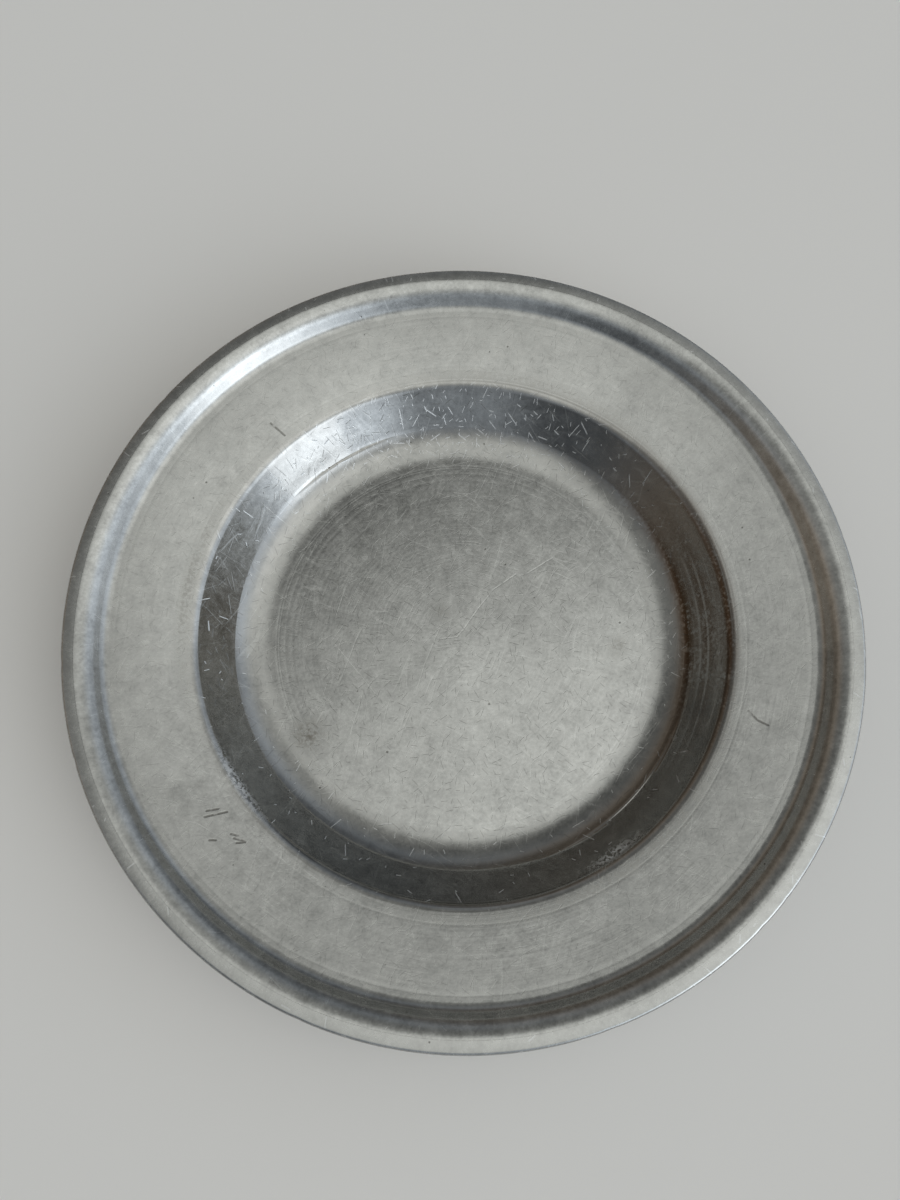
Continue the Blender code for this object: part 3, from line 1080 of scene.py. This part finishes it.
# %% Build the sheet's material
PALE_WIDTH, DARK_WIDTH = 0.00022, 0.00035
HAIRLINES = (
    # direction in radians, length and spacing in metres
    (0.5, 0.022, 0.0045),
    (1.9, 0.030, 0.0055),
)
# Cell, length and width of each kind of stroke and nick, in metres
SCOURING = ((0.0072, 0.0060, 0.00010), (0.0046, 0.0040, 0.00009))
DARK_HAIR = (0.0021, 0.0017, 0.00009)
WALL_NICKS = ((0.0032, 0.0021, 0.00014), (0.0017, 0.0008, 0.00011))
SCOURING_SHARE, DARK_HAIR_SHARE = 0.8, 0.7
FINE_STRENGTH, DARK_HAIR_STRENGTH = 0.5, 0.48
SHEET_RELIEF = 0.000024


def sheet_pewter():
    """Satin pewter with a polished wall, and a duller underside."""
    material, tree, shader, place = new_metal("sheet pewter")
    grain = place_group(tree, grain_group, {"Vector": place})
    rings = place_group(tree, rings_group, {"Vector": place})["Ring"]
    polish, knocks, scoured = [attribute(tree, name) for name in ("polish", "knocks", "scoured")]

    fine = [nicks(tree, place, size, SCOURING_SHARE) for size in SCOURING]
    for direction, length, spacing in HAIRLINES:
        inputs = {"Vector": place, "Direction": direction, "Length": length, "Spacing": spacing}
        fine.append(place_group(tree, hairline_group, inputs)["Line"])
    faint = calc(tree, "MULTIPLY", scoured, FINE_STRENGTH)
    fine_scratch = calc(tree, "MULTIPLY", strongest(tree, *fine), faint)
    scratch = strongest(tree, fine_scratch, stroke_mask(tree, place, PALE_STROKES, PALE_WIDTH))

    on_wall = calc(tree, "MULTIPLY_ADD", polish, 0.9, 0.1)
    # Wall nicks: real nicks, whose light colour is a painted highlight
    wall_nicks = strongest(tree, *[nicks(tree, place, size, knocks) for size in WALL_NICKS])
    nick = calc(tree, "MULTIPLY", wall_nicks, on_wall)
    # Painted highlight: bright grains in the two glint patches, drawn in the light nick colour
    glint = calc(tree, "MULTIPLY", attribute(tree, "painted_glint"), soft_step(tree, grain["Grain"], 0.42, 0.54))

    dark = stroke_mask(tree, place, DARK_STROKES, DARK_WIDTH)
    soot_lines = calc(tree, "MULTIPLY", attribute(tree, "soot"), soft_step(tree, rings, 0.47, 0.55))
    streaks = calc(tree, "MULTIPLY", attribute(tree, "stain"), soft_step(tree, rings, 0.10, 0.48))
    hair = calc(tree, "MULTIPLY", nicks(tree, place, DARK_HAIR, DARK_HAIR_SHARE), scoured)
    hair = calc(tree, "MULTIPLY", hair, DARK_HAIR_STRENGTH)
    dark = strongest(tree, grain["Pit"], dark, soot_lines, hair)
    finish = place_group(
        tree,
        finish_group,
        {
            "Polish": polish,
            "Wear": attribute(tree, "wear"),
            "Grime": strongest(tree, attribute(tree, "grime"), attribute(tree, "dirt")),
            "Stain": streaks,
            "Grain": grain["Grain"],
            "Mottle": grain["Mottle"],
            "Cloud": grain["Cloud"],
            "Ring": rings,
            "Scratch": scratch,
            "Nick": strongest(tree, nick, glint),
            "Pit": dark,
        },
    )
    dress(tree, shader, finish, SHEET_RELIEF)
    return material


mesh_sheet.materials.append(sheet_pewter())
print("sheet dressed with", mesh_sheet.materials[0].name)


# %% Build the band's and the solder's materials
EDGE_COLOUR, SOLDER_COLOUR = (0.375, 0.379, 0.370, 1), (0.24, 0.24, 0.23, 1)
EDGE_NICK, EDGE_NICK_SHARE, EDGE_NICK_STRENGTH = (0.003, 0.0016, 0.00020), 0.2, 0.35
EDGE_RELIEF, SOLDER_RELIEF = 0.00003, 0.00006


def edge_pewter():
    """The same satin pewter, a little darker, rubbed bright along the crest and the nose."""
    material, tree, shader, place = new_metal("edge pewter")
    grain = place_group(tree, grain_group, {"Vector": place, "Pit Cell": 0.003})
    knocked = nicks(tree, place, EDGE_NICK, EDGE_NICK_SHARE)
    finish = place_group(
        tree,
        finish_group,
        {
            "Satin Color": EDGE_COLOUR,
            "Speckle": 0.6,
            "Satin Roughness": 0.26,
            "Wear": attribute(tree, "wear"),
            "Grime": calc(tree, "MULTIPLY", attribute(tree, "under"), 0.35),
            "Grain": grain["Grain"],
            "Mottle": grain["Mottle"],
            "Cloud": grain["Cloud"],
            "Ring": 0.5,
            "Nick": calc(tree, "MULTIPLY", knocked, EDGE_NICK_STRENGTH),
            "Pit": grain["Pit"],
        },
    )
    dress(tree, shader, finish, EDGE_RELIEF)
    return material


def dull_solder():
    """Softer, darker metal, left as it ran."""
    material, tree, shader, place = new_metal("dull solder")
    grain = place_group(tree, grain_group, {"Vector": place, "Grain Size": 0.0006})
    finish = place_group(
        tree,
        finish_group,
        {
            "Satin Color": SOLDER_COLOUR,
            "Satin Roughness": 0.5,
            "Grime": 0.5,
            "Grain": grain["Grain"],
            "Mottle": grain["Mottle"],
            "Cloud": grain["Cloud"],
            "Ring": 0.5,
        },
    )
    dress(tree, shader, finish, SOLDER_RELIEF)
    return material


mesh_band.materials.append(edge_pewter())
mesh_solder.materials.append(dull_solder())
print("band and solder dressed")

# %% [markdown]
# ## Pieces on the frame
#
# Each surface stands for one solid of the imported model and rides on the same body.
# Nothing on a plate moves, so there is one body.

# %% Hang the pieces on the frame
for mesh, node, slot in (
    (mesh_sheet, "plate_body", "sheet_pewter"),
    (mesh_band, "rim_band", "edge_pewter"),
    (mesh_solder, "solder_fillet", "solder"),
):
    piece = bpy.data.objects.new("visual_" + node, mesh)
    bpy.context.collection.objects.link(piece)
    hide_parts(node)
    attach(piece, "root")
    print(piece.name, "stands for", node)

# %% Update the scene
bpy.context.view_layer.update()
